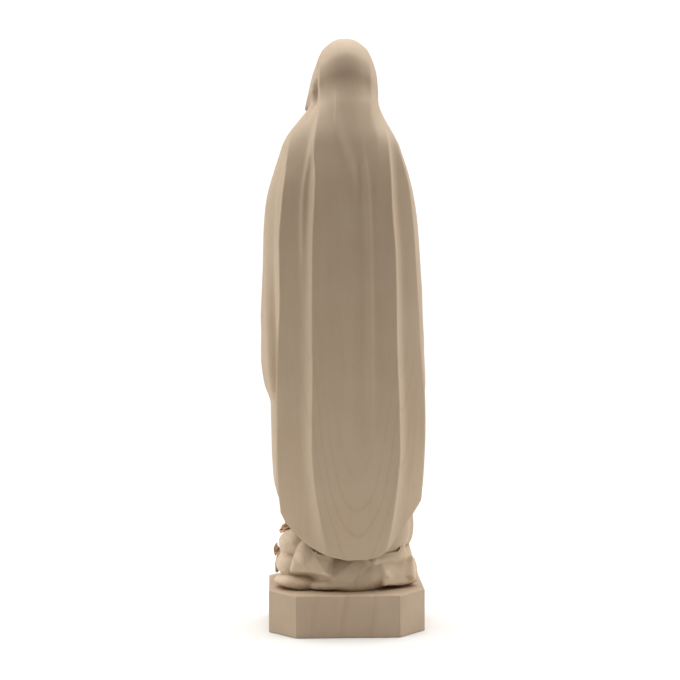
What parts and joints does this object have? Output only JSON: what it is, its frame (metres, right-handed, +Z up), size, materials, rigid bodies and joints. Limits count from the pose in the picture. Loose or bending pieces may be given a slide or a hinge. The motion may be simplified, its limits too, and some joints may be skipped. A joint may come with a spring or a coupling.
{
  "type": "madonna statue",
  "caption": "Carved maple Madonna in a hooded cloak and gown, hands joined, standing on a rock mound and an octagonal plinth.",
  "frame": {"origin": "centre of the plinth's underside, on the surface that it stands on", "axes": "+Z up the figure, -Y the way the figure faces, +X her left side"},
  "size_m": [0.0825, 0.0652, 0.2999],
  "materials": {
    "maple": "pale maple, sanded and waxed, matte",
    "beech_dowel": "plain beech dowel",
    "steel_screw": "zinc plated steel"
  },
  "bodies": {
    "root": {"plinth": "maple", "plinth_screws": "steel_screw", "rock_mound": "maple", "mound_dowels": "beech_dowel", "robe": "maple", "mantle": "maple", "mantle_dowels": "beech_dowel", "head": "maple", "neck_dowel": "beech_dowel", "left_sleeve": "maple", "right_sleeve": "maple", "sleeve_dowels": "beech_dowel", "left_hand": "maple", "right_hand": "maple", "sash_band": "maple", "sash_left_tail": "maple", "sash_right_tail": "maple", "left_foot": "maple", "right_foot": "maple", "left_foot_rose": "maple", "right_foot_rose": "maple", "rose_stem": "maple", "upper_rose": "maple", "lower_rose": "maple"}
  },
  "joints": []
}
